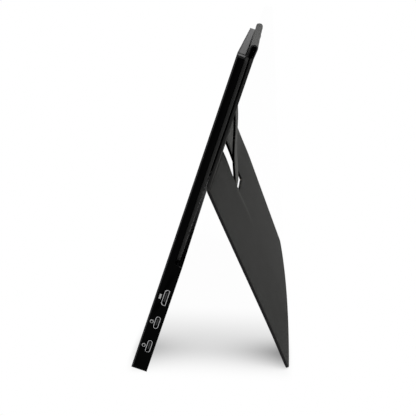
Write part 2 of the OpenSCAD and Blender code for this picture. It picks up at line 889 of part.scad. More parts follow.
module stand_lining() {
    color([0.22, 0.22, 0.23]) on_stand()
        sheet_at(fold_y + panel_t - lining_t + fit, lining_t - fit) difference() {
            stand_outline(wrap_t + fit);
            slot_outline(-slot_half_l);
        }
}

module stand_magnets() {
    color([0.6, 0.6, 0.62]) on_stand() sheet_at(fold_y + wrap_t + fit, magnet_t)
        stand_magnet_outlines(0);
}

// The strut is cut out of both panels: three flush layers

module strut_wrap() {
    color([0.2, 0.2, 0.21]) on_strut() sheet_at(strut_back - panel_t, wrap_t) strut_outline();
}

module strut_board() {
    color([0.45, 0.4, 0.33]) on_strut()
        sheet_at(strut_back - panel_t + wrap_t, panel_t - wrap_t - lining_t) strut_outline();
}

module strut_lining() {
    color([0.22, 0.22, 0.23]) on_strut() sheet_at(strut_back - lining_t, lining_t)
        strut_outline();
}

// ---------------------------------------------------------------- soft folds

// Leather along the fold line: a strip on the flap's side and one on the stand's side
module stand_fold_leather() {
    t = 0.7;
    reach = groove_w / 2 - fit;
    color([0.16, 0.16, 0.17]) slab() translate([0, fold_y, fold_z])
        mirror_pair() along_x(slot_open_w / 2 + 0.5, flap_hw - slot_open_w / 2 - 1) {
            circle(d = t);
            translate([-t / 2, 0]) square([t, reach]);
            rotate(open_angle) translate([-t / 2, -reach]) square([t, reach]);
        }
}

// Leather at the strut's hinge, in the plane of the flap's lining
module strut_fold_leather() {
    t = lining_t;
    color([0.16, 0.16, 0.17]) slab() translate([0, strut_axis_y, strut_axis_z])
        along_x(-strut_w / 2, strut_w) {
            circle(d = t);
            rotate(open_angle / 2) translate([-t / 2, -strut_root + fit])
                square([t, strut_root - fit]);
        }
}

// The loop over the top: a leg from the rear plate, a round top and a leg to the flap
module spine_plate_side() {
    y = plate_y + panel_t / 2;
    h = loop_t / 2;
    z0 = panel_top_z + leg_gap;
    z1 = loop_z - leg_gap;
    color([0.2, 0.2, 0.21]) slab() along_x(-loop_hw, 2 * loop_hw)
        polygon([[y - h, z0], [y + h, z0], [loop_y0 + h, z1], [loop_y0 - h, z1]]);
}

module spine_top() {
    r = loop_w / 2;
    color([0.2, 0.2, 0.21]) slab() translate([0, (loop_y0 + loop_y1) / 2, loop_z])
        along_x(-loop_hw, 2 * loop_hw) difference() {
            circle(r + loop_t / 2);
            circle(r - loop_t / 2);
            translate([-2 * r, -4 * r]) square([4 * r, 4 * r]);
        }
}

module spine_flap_side() {
    h = loop_t / 2;
    z0 = panel_top_z + leg_gap;
    z1 = loop_z - leg_gap;
    color([0.2, 0.2, 0.21]) slab() along_x(-loop_hw, 2 * loop_hw)
        polygon([[fold_y - h, z0], [fold_y + h, z0], [loop_y1 + h, z1], [loop_y1 - h, z1]]);
}

// ---------------------------------------------------------------- nodes

front_bezel();
bezel_tape();
display_cell();
diffuser_sheets();
light_guide();
led_strip();
backlight_tray();
tray_tape();
panel_flexes();
driver_board();
signal_cable();
main_board();
shield_can();
board_chips();
video_socket();
video_blade();
usb_socket_upper();
usb_socket_lower();
usb_blade_upper();
usb_blade_lower();
key_board();
key_switches();
key_cable();
audio_jack();
speaker_left();
speaker_right();
speaker_cones();
board_screws();
case_magnets();
rear_cover();
port_marks();
power_button();
menu_rocker();
plate_board();
plate_wrap();
plate_lining();
plate_magnets();
spine_plate_side();
spine_top();
spine_flap_side();
flap_board();
flap_wrap();
flap_lining();
flap_magnets();
stand_fold_leather();
stand_board();
stand_wrap();
stand_lining();
stand_magnets();
strut_board();
strut_wrap();
strut_lining();
strut_fold_leather();
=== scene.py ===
import json
import math

import bmesh
import bpy
from mathutils import Matrix, Vector


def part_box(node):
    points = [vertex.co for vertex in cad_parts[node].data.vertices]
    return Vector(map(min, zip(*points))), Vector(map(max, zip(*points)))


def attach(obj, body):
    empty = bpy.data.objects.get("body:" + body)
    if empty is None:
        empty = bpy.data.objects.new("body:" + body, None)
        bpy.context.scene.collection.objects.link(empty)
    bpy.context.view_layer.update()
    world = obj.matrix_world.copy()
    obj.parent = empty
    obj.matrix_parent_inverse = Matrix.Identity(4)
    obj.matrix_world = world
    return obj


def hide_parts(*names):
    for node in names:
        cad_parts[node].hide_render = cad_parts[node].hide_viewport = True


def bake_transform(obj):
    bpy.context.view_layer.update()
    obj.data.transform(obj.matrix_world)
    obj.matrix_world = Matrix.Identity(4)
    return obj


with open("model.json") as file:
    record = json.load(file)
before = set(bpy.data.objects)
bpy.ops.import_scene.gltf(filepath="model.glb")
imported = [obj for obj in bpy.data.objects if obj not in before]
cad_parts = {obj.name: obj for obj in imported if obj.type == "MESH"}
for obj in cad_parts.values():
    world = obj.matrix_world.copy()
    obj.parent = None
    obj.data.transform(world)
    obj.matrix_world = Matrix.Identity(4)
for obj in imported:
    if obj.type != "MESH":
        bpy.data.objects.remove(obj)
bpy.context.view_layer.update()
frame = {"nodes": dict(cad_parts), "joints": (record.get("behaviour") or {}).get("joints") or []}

MM = 0.001

# ---------------------------------------------------------------- camera
# The picture is taken along the screen from its right, a little above it and a little
# behind, with a longish lens. The camera leans over by about a degree.
camera_place = Vector((748.63, 33.86, 256.27)) * MM
camera_pitch, camera_yaw, camera_roll = map(math.radians, (13.70, -3.67, 0.96))
ahead = Vector((-math.cos(camera_pitch) * math.cos(camera_yaw),
                math.cos(camera_pitch) * math.sin(camera_yaw), -math.sin(camera_pitch)))
right = Vector((math.sin(camera_yaw), math.cos(camera_yaw), 0))
above = right.cross(ahead)
camera_x = math.cos(camera_roll) * right + math.sin(camera_roll) * above
camera_y = math.cos(camera_roll) * above - math.sin(camera_roll) * right
camera = bpy.data.objects.new("camera", bpy.data.cameras.new("camera"))
camera.data.lens = 78.69
camera.data.clip_start = 0.01
camera.matrix_world = Matrix.Translation(camera_place) @ Matrix(
    (camera_x, camera_y, -ahead)).transposed().to_4x4()
bpy.context.scene.collection.objects.link(camera)
bpy.context.scene.camera = camera
bpy.context.scene.view_settings.view_transform = "Standard"

# ---------------------------------------------------------------- studio
# A white table that runs on to a white horizon, a large soft box overhead and a dim room.
# The table keeps the part's shadow; what the camera sees of it is lifted to white.


def new_material(name):
    """A material with its Principled shader: returns (material, nodes, link, shader)."""
    made = bpy.data.materials.new(name)
    made.use_nodes = True
    nodes, links = made.node_tree.nodes, made.node_tree.links
    return made, nodes, lambda a, b: links.new(a, b), nodes["Principled BSDF"]


bpy.ops.object.select_all(action="DESELECT")
bpy.ops.mesh.primitive_plane_add(size=24)
table = bpy.context.object
table.name = "table"
table_white, nodes, link, shader = new_material("table_white")
shader.inputs["Base Color"].default_value = (0.86, 0.86, 0.86, 1)
shader.inputs["Roughness"].default_value = 0.9
shader.inputs["Specular IOR Level"].default_value = 0


def math_node(nodes, operation, *values):
    """A math node fed with sockets or plain numbers: returns its output."""
    node = nodes.new("ShaderNodeMath")
    node.operation = operation
    for socket, value in zip(node.inputs, values):
        if isinstance(value, (int, float)):
            socket.default_value = value
        else:
            nodes.id_data.links.new(value, socket)
    return node.outputs[0]


def ramp_node(nodes, value, low, high, to_low, to_high):
    """A smooth step of a value between two limits: returns its output."""
    node = nodes.new("ShaderNodeMapRange")
    node.interpolation_type = "SMOOTHSTEP"
    for label, number in (("From Min", low), ("From Max", high), ("To Min", to_low),
                          ("To Max", to_high)):
        node.inputs[label].default_value = number
    nodes.id_data.links.new(value, node.inputs["Value"])
    return node.outputs["Result"]


# The table is blown out to white, as the backdrop is, but for the soft shadow that stays
# between the feet at the near end.
place_on_table = nodes.new("ShaderNodeTexCoord")
across_table = nodes.new("ShaderNodeSeparateXYZ")
link(place_on_table.outputs["Object"], across_table.inputs[0])
table_x, table_y = across_table.outputs["X"], across_table.outputs["Y"]
shade_grows, shade_ends = (0.035, 0.150), (0.128, 0.186)    # metres, along the screen
feet_start = (0.095, 0.135)
front_gate, rear_gate = (-0.060, -0.0535), (0.050, 0.058)    # metres, at the two feet
least_kept, most_kept = 0.02, 0.44
kept_mid, feet_gain, middle_y = 0.85, 324, -0.006
kept = math_node(nodes, "MULTIPLY",
                 ramp_node(nodes, table_x, *shade_grows, least_kept, most_kept),
                 ramp_node(nodes, table_x, *shade_ends, 1, 0))
off_middle = math_node(nodes, "POWER", math_node(nodes, "SUBTRACT", table_y, middle_y), 2)
by_feet = math_node(nodes, "MULTIPLY", math_node(nodes, "MULTIPLY", off_middle, feet_gain),
                    ramp_node(nodes, table_x, *feet_start, 0, 1))
kept = math_node(nodes, "MULTIPLY", kept, math_node(nodes, "ADD", by_feet, kept_mid))
kept = math_node(nodes, "MULTIPLY", kept, ramp_node(nodes, table_y, *front_gate, 0, 1))
kept = math_node(nodes, "MULTIPLY", kept, ramp_node(nodes, table_y, *rear_gate, 1, 0))
rays = nodes.new("ShaderNodeLightPath")
seen = math_node(nodes, "MAXIMUM", rays.outputs["Is Camera Ray"], rays.outputs["Is Glossy Ray"])
seen = math_node(nodes, "MAXIMUM", seen, rays.outputs["Is Transmission Ray"])
blown = math_node(nodes, "MULTIPLY", seen, math_node(nodes, "SUBTRACT", 1.0, kept))
table_glow = nodes.new("ShaderNodeEmission")
table_glow.inputs["Strength"].default_value = 1
table_mix = nodes.new("ShaderNodeMixShader")
link(blown, table_mix.inputs[0])
link(shader.outputs[0], table_mix.inputs[1])
link(table_glow.outputs[0], table_mix.inputs[2])
link(table_mix.outputs[0], nodes["Material Output"].inputs["Surface"])
table.data.materials.append(table_white)

# The room: dim for what it lights, white for what the camera sees, and for mirrorings a
# bright band at the horizon that falls off overhead.
room_light, overhead_mirrored = 0.42, 0.08
horizon_low, horizon_high = 0.10, 0.32
world = bpy.data.worlds.new("studio")
bpy.context.scene.world = world
world.use_nodes = True
nodes, links = world.node_tree.nodes, world.node_tree.links
room = nodes["Background"]
room.inputs["Color"].default_value = (1, 1, 1, 1)
room.inputs["Strength"].default_value = room_light
white = nodes.new("ShaderNodeBackground")
white.inputs["Color"].default_value = (1, 1, 1, 1)
toward = nodes.new("ShaderNodeTexCoord")
height = nodes.new("ShaderNodeSeparateXYZ")
links.new(toward.outputs["Generated"], height.inputs[0])
fade = nodes.new("ShaderNodeMapRange")
fade.inputs["From Min"].default_value = horizon_low
fade.inputs["From Max"].default_value = horizon_high
fade.inputs["To Min"].default_value = 1
fade.inputs["To Max"].default_value = overhead_mirrored
links.new(height.outputs["Z"], fade.inputs["Value"])
rays = nodes.new("ShaderNodeLightPath")
mirrored = math_node(nodes, "MULTIPLY", rays.outputs["Is Glossy Ray"], fade.outputs["Result"])
seen = math_node(nodes, "MAXIMUM", rays.outputs["Is Camera Ray"],
                 rays.outputs["Is Transmission Ray"])
links.new(math_node(nodes, "MAXIMUM", seen, mirrored), white.inputs["Strength"])
pick = math_node(nodes, "MAXIMUM", seen, rays.outputs["Is Glossy Ray"])
both = nodes.new("ShaderNodeMixShader")
links.new(pick, both.inputs[0])
links.new(room.outputs[0], both.inputs[1])
links.new(white.outputs[0], both.inputs[2])
links.new(both.outputs[0], nodes["World Output"].inputs["Surface"])

box_place, box_aim = Vector((0.35, 0.15, 1.45)), Vector((0, 0, 0.1))
lamp = bpy.data.lights.new("overhead_box", "AREA")
lamp.shape = "SQUARE"
lamp.size = 1.3
lamp.energy = 16
soft_box = bpy.data.objects.new("overhead_box", lamp)
soft_box.location = box_place
soft_box.rotation_euler = (box_aim - box_place).to_track_quat("-Z", "Y").to_euler()
bpy.context.scene.collection.objects.link(soft_box)

# ---------------------------------------------------------------- case back
# The rear housing is one moulding in satin black: thin behind the screen, thick below the
# step, with rounded corners and a small chamfer along its edges.

joints = {joint["name"]: joint for joint in frame["joints"]}
slab_out = Vector(joints["rocker_tilt"]["axis"]).normalized()
slab_up = Vector((1, 0, 0)).cross(slab_out)
case_points = [v.co for v in frame["nodes"]["rear_cover"].data.vertices]
slab_origin = (slab_out * max(p.dot(slab_out) for p in case_points)
               + slab_up * min(p.dot(slab_up) for p in case_points))
slab_place = Matrix.Translation(slab_origin) @ Matrix(
    (Vector((1, 0, 0)), slab_out, slab_up)).transposed().to_4x4()
case_half_w = max(p.x for p in case_points)
case_h = max(p.dot(slab_up) for p in case_points) - slab_origin.dot(slab_up)
weld_gap = 0.002 * MM
hair = 0.01 * MM              # points nearer than this to a plane lie in it
edge_slack = 0.05 * MM
corner_zone = 3.2 * MM        # a little more than the case's corner radius
ledge_zone = 0.6 * MM
outline_min, ledge_min = 8 * MM, 2 * MM    # shorter edges are those of holes and bosses
edge_round, ledge_round = 0.3 * MM, 1.1 * MM
flat_turn = math.radians(0.5)      # folds flatter than this are none
smooth_below = math.radians(32)    # flatter ones than this are shaded smooth
sharp_above = math.radians(40)     # and sharper ones than this are real edges
ledge_turn = math.radians(60)


def take(piece):
    """Selects one piece alone and makes it active."""
    bpy.ops.object.select_all(action="DESELECT")
    piece.select_set(True)
    bpy.context.view_layer.objects.active = piece


def worked_copy(node, name):
    """A CAD node's faces as a new piece, joined up and free of the triangles' inner edges."""
    piece = bpy.data.objects.new(name, frame["nodes"][node].data.copy())
    bpy.context.scene.collection.objects.link(piece)
    piece.data.materials.clear()
    take(piece)
    bpy.ops.object.mode_set(mode="EDIT")
    bpy.ops.mesh.select_all(action="SELECT")
    bpy.ops.mesh.remove_doubles(threshold=weld_gap)
    bpy.ops.mesh.dissolve_limited(angle_limit=flat_turn)
    bpy.ops.object.mode_set(mode="OBJECT")
    return piece


def soften(piece, test, width, steps=2, material=-1):
    """Rounds the edges that pass a test. The test is given the edge and its fold angle."""
    take(piece)
    bpy.ops.object.mode_set(mode="EDIT")
    bpy.ops.mesh.select_mode(type="EDGE")
    bpy.ops.mesh.select_all(action="DESELECT")
    work = bmesh.from_edit_mesh(piece.data)
    for edge in work.edges:
        if len(edge.link_faces) == 2 and test(edge, edge.calc_face_angle()):
            edge.select_set(True)
    bmesh.update_edit_mesh(piece.data)
    bpy.ops.mesh.bevel(offset=width, segments=steps, affect="EDGES", clamp_overlap=True,
                       material=material)
    bpy.ops.object.mode_set(mode="OBJECT")


def finish_piece(piece, material, body, slot, *nodes):
    """Smooth shading, its material, its body and the CAD nodes that it stands for."""
    take(piece)
    if material:
        piece.data.materials.append(material)
    bpy.ops.object.shade_smooth_by_angle(angle=smooth_below)
    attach(piece, body)
    if nodes:
        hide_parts(*nodes)


def shader_group(name, inputs, outputs):
    """An empty shader node group with named sockets: returns (group, nodes, links, in, out)."""
    group = bpy.data.node_groups.new(name, "ShaderNodeTree")
    for label, value in inputs:
        socket = group.interface.new_socket(label, in_out="INPUT", socket_type="NodeSocketFloat")
        socket.default_value = value
    for label in outputs:
        group.interface.new_socket(label, in_out="OUTPUT", socket_type="NodeSocketFloat")
    nodes = group.nodes
    return (group, nodes, group.links, nodes.new("NodeGroupInput"),
            nodes.new("NodeGroupOutput"))


def noise_node(nodes, place, detail, scale=None):
    """A noise texture at a place: returns the node."""
    node = nodes.new("ShaderNodeTexNoise")
    node.inputs["Detail"].default_value = detail
    if scale:
        node.inputs["Scale"].default_value = scale
    nodes.id_data.links.new(place, node.inputs["Vector"])
    return node


def tone_around_one(nodes, value, variation, middle):
    """1 where the value is at its middle, and more or less as far as the variation says."""
    off_middle = math_node(nodes, "SUBTRACT", value, middle)
    return math_node(nodes, "MULTIPLY_ADD", off_middle, variation, 1)


# Fine moulded grain: two sizes of noise. Tone varies slowly around 1, Height is the grain.
moulded_grain, nodes, links, inner, outer = shader_group(
    "moulded_grain", [("Scale", 4000), ("Variation", 0.1)], ["Height", "Tone"])
place = nodes.new("ShaderNodeTexCoord").outputs["Object"]
fine = noise_node(nodes, place, 3)
links.new(inner.outputs["Scale"], fine.inputs["Scale"])
links.new(fine.outputs["Fac"], outer.inputs["Height"])
cloudy = noise_node(nodes, place, 4, 60)
links.new(tone_around_one(nodes, cloudy.outputs["Fac"], inner.outputs["Variation"], 0.5),
          outer.inputs["Tone"])


def grained(name, colour, rough, grain=4000, variation=0.15, bump=0.2, depth=0.02,
            metal=0.0, specular=0.5, group=None, rough_range=0.08):
    """A material whose colour, roughness and bump follow a grain group."""
    made, nodes, link, shader = new_material(name)
    pattern = nodes.new("ShaderNodeGroup")
    pattern.node_tree = group or moulded_grain
    pattern.inputs["Scale"].default_value = grain
    pattern.inputs["Variation"].default_value = variation
    tint = nodes.new("ShaderNodeVectorMath")
    tint.operation = "SCALE"
    tint.inputs[0].default_value = colour
    link(pattern.outputs["Tone"], tint.inputs["Scale"])
    link(tint.outputs[0], shader.inputs["Base Color"])
    uneven = nodes.new("ShaderNodeMapRange")
    uneven.inputs["To Min"].default_value = rough - rough_range
    uneven.inputs["To Max"].default_value = rough + rough_range
    link(pattern.outputs["Height"], uneven.inputs["Value"])
    link(uneven.outputs["Result"], shader.inputs["Roughness"])
    relief = nodes.new("ShaderNodeBump")
    relief.inputs["Strength"].default_value = bump
    relief.inputs["Distance"].default_value = depth * MM
    link(pattern.outputs["Height"], relief.inputs["Height"])
    link(relief.outputs["Normal"], shader.inputs["Normal"])
    shader.inputs["Metallic"].default_value = metal
    shader.inputs["Specular IOR Level"].default_value = specular
    return made


case_black = grained("case_black", (0.0007, 0.0007, 0.0008), 0.36, grain=5200, bump=0.2,
                     specular=0.02)
# A glossier copy of the black for rounded edges: polish in its gloss, a painted highlight in its
# lighter colour.
edge_polish = grained("edge_polish", (0.006, 0.006, 0.0062), 0.24, grain=5200, bump=0.05,
                      specular=0.5)
# A lighter copy of the black for the top faces that point up: a painted highlight.
case_top = grained("case_top", (0.005, 0.005, 0.0052), 0.34, grain=5200, bump=0.25,
                   specular=0.16)


def on_case_outline(edge, turn):
    """Long sharp edges on the outline of the case, not those of holes and bosses."""
    if turn < sharp_above or edge.calc_length() < outline_min:
        return False
    for vertex in edge.verts:
        x, y, z = to_slab @ vertex.co
        at_side = abs(abs(x) - case_half_w) < edge_slack
        at_end = z < corner_zone or z > case_h - corner_zone
        if not (at_side or at_end):
            return False
    return True


def on_ledge_end(edge, turn):
    """The short edge at each end of the step's ledge, where it meets the side face."""
    return turn > ledge_turn and edge.calc_length() > ledge_min and all(
        abs(abs((to_slab @ v.co).x) - case_half_w) < ledge_zone
        and abs((to_slab @ v.co).z - step_z) < ledge_zone for v in edge.verts)


to_slab = slab_place.inverted()
rear_heights = [(to_slab @ p).z for p in case_points if abs((to_slab @ p).y) < edge_slack]
step_z = max(rear_heights) + min(rear_heights)
case_back = worked_copy("rear_cover", "case_back")
for material in (case_black, edge_polish, case_top):
    case_back.data.materials.append(material)
# The ledge's rounded ends take the polished copy, whose lighter colour is a painted highlight.
soften(case_back, on_ledge_end, ledge_round, 3, material=1)
soften(case_back, on_case_outline, edge_round)
# The faces of the top edge that point up get a lighter copy of the black, a painted highlight,
# duller than its rounded ends, whose polished copy is lighter too. The limits are for the way
# that a face points, in shares of the case's own directions.
points_up, points_back, points_aside = 0.15, 0.9, 0.08
for face in case_back.data.polygons:
    x, y, z = to_slab.to_3x3() @ face.normal
    at_top = (to_slab @ face.center).z > case_h - corner_zone
    if at_top and z > points_up and abs(y) < points_back:
        face.material_index = 1 if abs(x) > points_aside else 2
finish_piece(case_back, None, "monitor", "case_black", "rear_cover")

# ---------------------------------------------------------------- screen
# The front bezel is a satin black frame; the picture area behind it is dark glass with an
# anti-glare surface. The layers behind the glass are hidden but have their own finishes.
bezel_black = grained("bezel_black", (0.006, 0.006, 0.0065), 0.42, grain=5200, specular=0.3)
bezel = worked_copy("front_bezel", "bezel")
bezel_edge_min, bezel_round = 100 * MM, 0.22 * MM
soften(bezel, lambda edge, turn: turn > sharp_above and edge.calc_length() > bezel_edge_min,
       bezel_round)
finish_piece(bezel, bezel_black, "monitor", "black_plastic", "front_bezel")

screen_glass = grained("screen_glass", (0.0035, 0.0038, 0.0055), 0.16, grain=9000,
                       variation=0.05, bump=0.04, depth=0.004, specular=0.5)


def dress(material, *names):
    """Gives carried-over CAD nodes their finish."""
    for name in names:
        mesh = frame["nodes"][name].data
        mesh.materials.clear()
        mesh.materials.append(material)


dress(screen_glass, "display_cell")
dress(grained("film_white", (0.78, 0.78, 0.76), 0.5, variation=0.04), "diffuser_sheets")
dress(grained("guide_acrylic", (0.70, 0.76, 0.78), 0.12, variation=0.04), "light_guide")
dress(grained("lamp_strip", (0.75, 0.70, 0.42), 0.4, grain=900), "led_strip")
dress(grained("tray_steel", (0.52, 0.53, 0.54), 0.34, grain=2500, metal=1.0),
      "backlight_tray", "shield_can")
dress(grained("tape_black", (0.012, 0.012, 0.012), 0.7, grain=1500), "bezel_tape", "tray_tape")

# ---------------------------------------------------------------- electronics
# Inside the thick part lie the green boards with their chips, the flat cables, the
# loudspeakers and the screws. Some of it shows through the sound slots.
dress(grained("board_green", (0.010, 0.085, 0.035), 0.35, grain=1800, variation=0.3),
      "main_board", "key_board", "driver_board")
dress(grained("chip_black", (0.014, 0.014, 0.015), 0.5), "board_chips")
dress(grained("flex_amber", (0.42, 0.19, 0.035), 0.32, variation=0.2), "panel_flexes")
dress(grained("cable_black", (0.015, 0.015, 0.016), 0.4), "signal_cable")
dress(grained("cable_white", (0.62, 0.62, 0.58), 0.45), "key_cable")
dress(grained("speaker_black", (0.010, 0.010, 0.010), 0.55), "speaker_left", "speaker_right")
dress(grained("cone_paper", (0.035, 0.035, 0.036), 0.8, grain=1500, variation=0.4),
      "speaker_cones")
dress(grained("magnet_nickel", (0.46, 0.46, 0.47), 0.28, metal=1.0), "case_magnets",
      "plate_magnets", "flap_magnets")
dress(grained("board_grey", (0.22, 0.19, 0.15), 0.85, grain=1200, variation=0.3),
      "plate_board")

# ---------------------------------------------------------------- sockets
# Three drawn steel shells stand in the side face, each with a black contact blade inside; their
# steel is painted darker towards the back of each mouth, a painted shade. Beside them are plain
# printed marks: a bar for video and a ring for each charging port.


def shaded(material, name, shade):
    """A copy of a grained material whose colour is scaled by a value made from its nodes
    and the piece's own x, y and z."""
    made = material.copy()
    made.name = name
    nodes, links = made.node_tree.nodes, made.node_tree.links
    shader = nodes["Principled BSDF"]
    plain = shader.inputs["Base Color"].links[0].from_socket
    where = nodes.new("ShaderNodeTexCoord")
    parted = nodes.new("ShaderNodeSeparateXYZ")
    links.new(where.outputs["Object"], parted.inputs[0])
    scaled = nodes.new("ShaderNodeVectorMath")
    scaled.operation = "SCALE"
    links.new(plain, scaled.inputs[0])
    links.new(shade(nodes, *parted.outputs), scaled.inputs["Scale"])
    links.new(scaled.outputs[0], shader.inputs["Base Color"])
    return made


# Painted shade: the steel's colour falls from full at the mouth's lip to a tenth further in.
def painted_shade_inside(nodes, x, y, z):
    return ramp_node(nodes, x, mouth_x - lit_depth, mouth_x - lip_depth, 0.10, 1)


mouth_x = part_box("video_socket")[1].x
lip_depth, lit_depth = 0.1 * MM, 1.3 * MM
drawn_steel = grained("drawn_steel", (0.50, 0.50, 0.51), 0.26, grain=2600, metal=1.0,
                      variation=0.08)
dress(shaded(drawn_steel, "socket_steel", painted_shade_inside), "video_socket", "usb_socket_upper",
      "usb_socket_lower")
dress(drawn_steel, "board_screws")
dress(grained("contact_black", (0.012, 0.012, 0.013), 0.4), "video_blade", "usb_blade_upper",
      "usb_blade_lower", "key_switches", "audio_jack")
dress(grained("mark_white", (0.40, 0.40, 0.40), 0.6, grain=1800), "port_marks")

# ---------------------------------------------------------------- controls
# A power button and a menu rocker stand in the left side face. Both are moulded in black,
# with softly rounded faces, and are held by their flanges behind the wall.
button_black = grained("button_black", (0.009, 0.009, 0.0095), 0.3, specular=0.4)
button_round = 0.2 * MM
for node, name in (("power_button", "power_key"), ("menu_rocker", "menu_key")):
    key = worked_copy(node, name)
    outer_x = min(v.co.x for v in key.data.vertices)
    soften(key, lambda edge, turn: turn > sharp_above
           and all(abs(v.co.x - outer_x) < hair for v in edge.verts), button_round)
    finish_piece(key, button_black, node, "button_black", node)

# ---------------------------------------------------------------- cover leather
# The cover's panels are boards wrapped in dark grey imitation leather with a fine grain,
# turned over the edges, with a smooth lining let in on the other side.
leather_grain, nodes, links, inner, outer = shader_group(
    "leather_grain", [("Scale", 1500), ("Variation", 0.2)], ["Height", "Tone"])
place = nodes.new("ShaderNodeTexCoord").outputs["Object"]
wander_by = 0.6 * MM
wander = noise_node(nodes, place, 2, 700)
shifted = nodes.new("ShaderNodeVectorMath")
shifted.operation = "MULTIPLY_ADD"
links.new(wander.outputs["Color"], shifted.inputs[0])
shifted.inputs[1].default_value = (wander_by, wander_by, wander_by)
links.new(place, shifted.inputs[2])
cells = nodes.new("ShaderNodeTexVoronoi")
cells.feature = "DISTANCE_TO_EDGE"
links.new(shifted.outputs[0], cells.inputs["Vector"])
links.new(inner.outputs["Scale"], cells.inputs["Scale"])
grain_height = ramp_node(nodes, cells.outputs["Distance"], 0, 0.22, 0, 1)
links.new(grain_height, outer.inputs["Height"])
cloudy = noise_node(nodes, place, 5, 35)
mixed = math_node(nodes, "MULTIPLY_ADD", grain_height, 0.35, cloudy.outputs["Fac"])
links.new(tone_around_one(nodes, mixed, inner.outputs["Variation"], 0.75),
          outer.inputs["Tone"])

cover_leather = grained("cover_leather", (0.0185, 0.0185, 0.018), 0.6, grain=1500,
                        variation=0.25, bump=0.5, depth=0.06, specular=0.15,
                        group=leather_grain)
cover_lining = grained("cover_lining", (0.040, 0.040, 0.038), 0.8, grain=1900,
                       variation=0.22, bump=0.4, depth=0.05, specular=0.06,
                       group=leather_grain)


def panel_place(name):
    """Where a cover panel lies, and its thickness: x across, y out of its back, z up it.
    The origin is in the middle of its rear top edge."""
    wrap, lining = frame["nodes"][name + "_wrap"].data, frame["nodes"][name + "_lining"].data
    out = max(wrap.polygons, key=lambda face: face.area).normal.copy()
    if out.y < 0:
        out.negate()
    up = Vector((1, 0, 0)).cross(out)
    points = [v.co for mesh in (wrap, lining) for v in mesh.vertices]
    depths = [p.dot(out) for p in points]
    origin = out * max(depths) + up * max(p.dot(up) for p in points)
    place = Matrix.Translation(origin) @ Matrix(
        (Vector((1, 0, 0)), out, up)).transposed().to_4x4()
    return place, max(depths) - min(depths)


def panel_outline(name, piece_name, place):
    """The wrap's whole outer face as a flat sheet, laid in the panel's own axes."""
    piece = worked_copy(name + "_wrap", piece_name)
    piece.data.transform(place.inverted())
    bpy.ops.object.mode_set(mode="EDIT")
    bpy.ops.mesh.select_mode(type="FACE")
    bpy.ops.mesh.select_all(action="SELECT")
    work = bmesh.from_edit_mesh(piece.data)
    max(work.faces, key=lambda face: face.calc_area()).select_set(False)
    bmesh.update_edit_mesh(piece.data)
    bpy.ops.mesh.delete(type="FACE")
    bpy.ops.object.mode_set(mode="OBJECT")
    return piece


def lay_sheet(piece, low, high, trim=0.0):
    """Trims a flat outline all round, moves it to a depth and gives it its thickness."""
    take(piece)
    bpy.ops.object.mode_set(mode="EDIT")
    bpy.ops.mesh.select_all(action="SELECT")
    if trim:
        bpy.ops.mesh.inset(thickness=trim, depth=0)
        bpy.ops.mesh.select_all(action="INVERT")
        bpy.ops.mesh.delete(type="FACE")
        bpy.ops.mesh.select_all(action="SELECT")
    bpy.ops.object.mode_set(mode="OBJECT")
    for vertex in piece.data.vertices:
        vertex.co.y = low
    bpy.ops.object.mode_set(mode="EDIT")
    bpy.ops.mesh.extrude_region_move(TRANSFORM_OT_translate={"value": (0, high - low, 0)})
    bpy.ops.mesh.select_all(action="SELECT")
    bpy.ops.mesh.normals_make_consistent(inside=False)
    bpy.ops.object.mode_set(mode="OBJECT")


rim_turn = math.radians(25)


def rim_at(depth):
    """A test for the edges round the panel's face at a depth."""
    def test(edge, turn):
        return turn > rim_turn and all(
            abs(v.co.y - depth) < hair for v in edge.verts)
    return test


def slice_up(piece, across, along):
    """Cuts a panel into strips, so that it can be bent."""
    take(piece)
    bpy.ops.object.mode_set(mode="EDIT")
    for places, direction in ((across, Vector((1, 0, 0))), (along, Vector((0, 0, 1)))):
        for place in places:
            bpy.ops.mesh.select_all(action="SELECT")
            bpy.ops.mesh.bisect(plane_co=direction * place, plane_no=direction)
    bpy.ops.object.mode_set(mode="OBJECT")


def steps_between(low, high, count):
    return [low + (high - low) * (i + 1) / (count + 1) for i in range(count)]


face_skin = 0.75 * MM    # the facing sheet, turned over the panel's edge
face_ply = 0.35 * MM     # how far it stands above the board's wrap
face_trim = 0.08 * MM    # and how far inside the wrap's edge it ends
wrap_round, face_round = 0.5 * MM, 0.55 * MM
slices_across, slices_along = 27, 21


def smooth(low, high, value):
    """0 below the lower limit, 1 above the upper one and an even rise between them."""
    share = min(1.0, max(0.0, (value - low) / (high - low)))
    return share * share * (3 - 2 * share)


def bend_piece(piece, bend):
    """Moves a panel's points out of its plane and along it, as its bend rule says."""
    for vertex in piece.data.vertices:
        out, up = bend(*vertex.co)
        vertex.co.y += out
        vertex.co.z += up


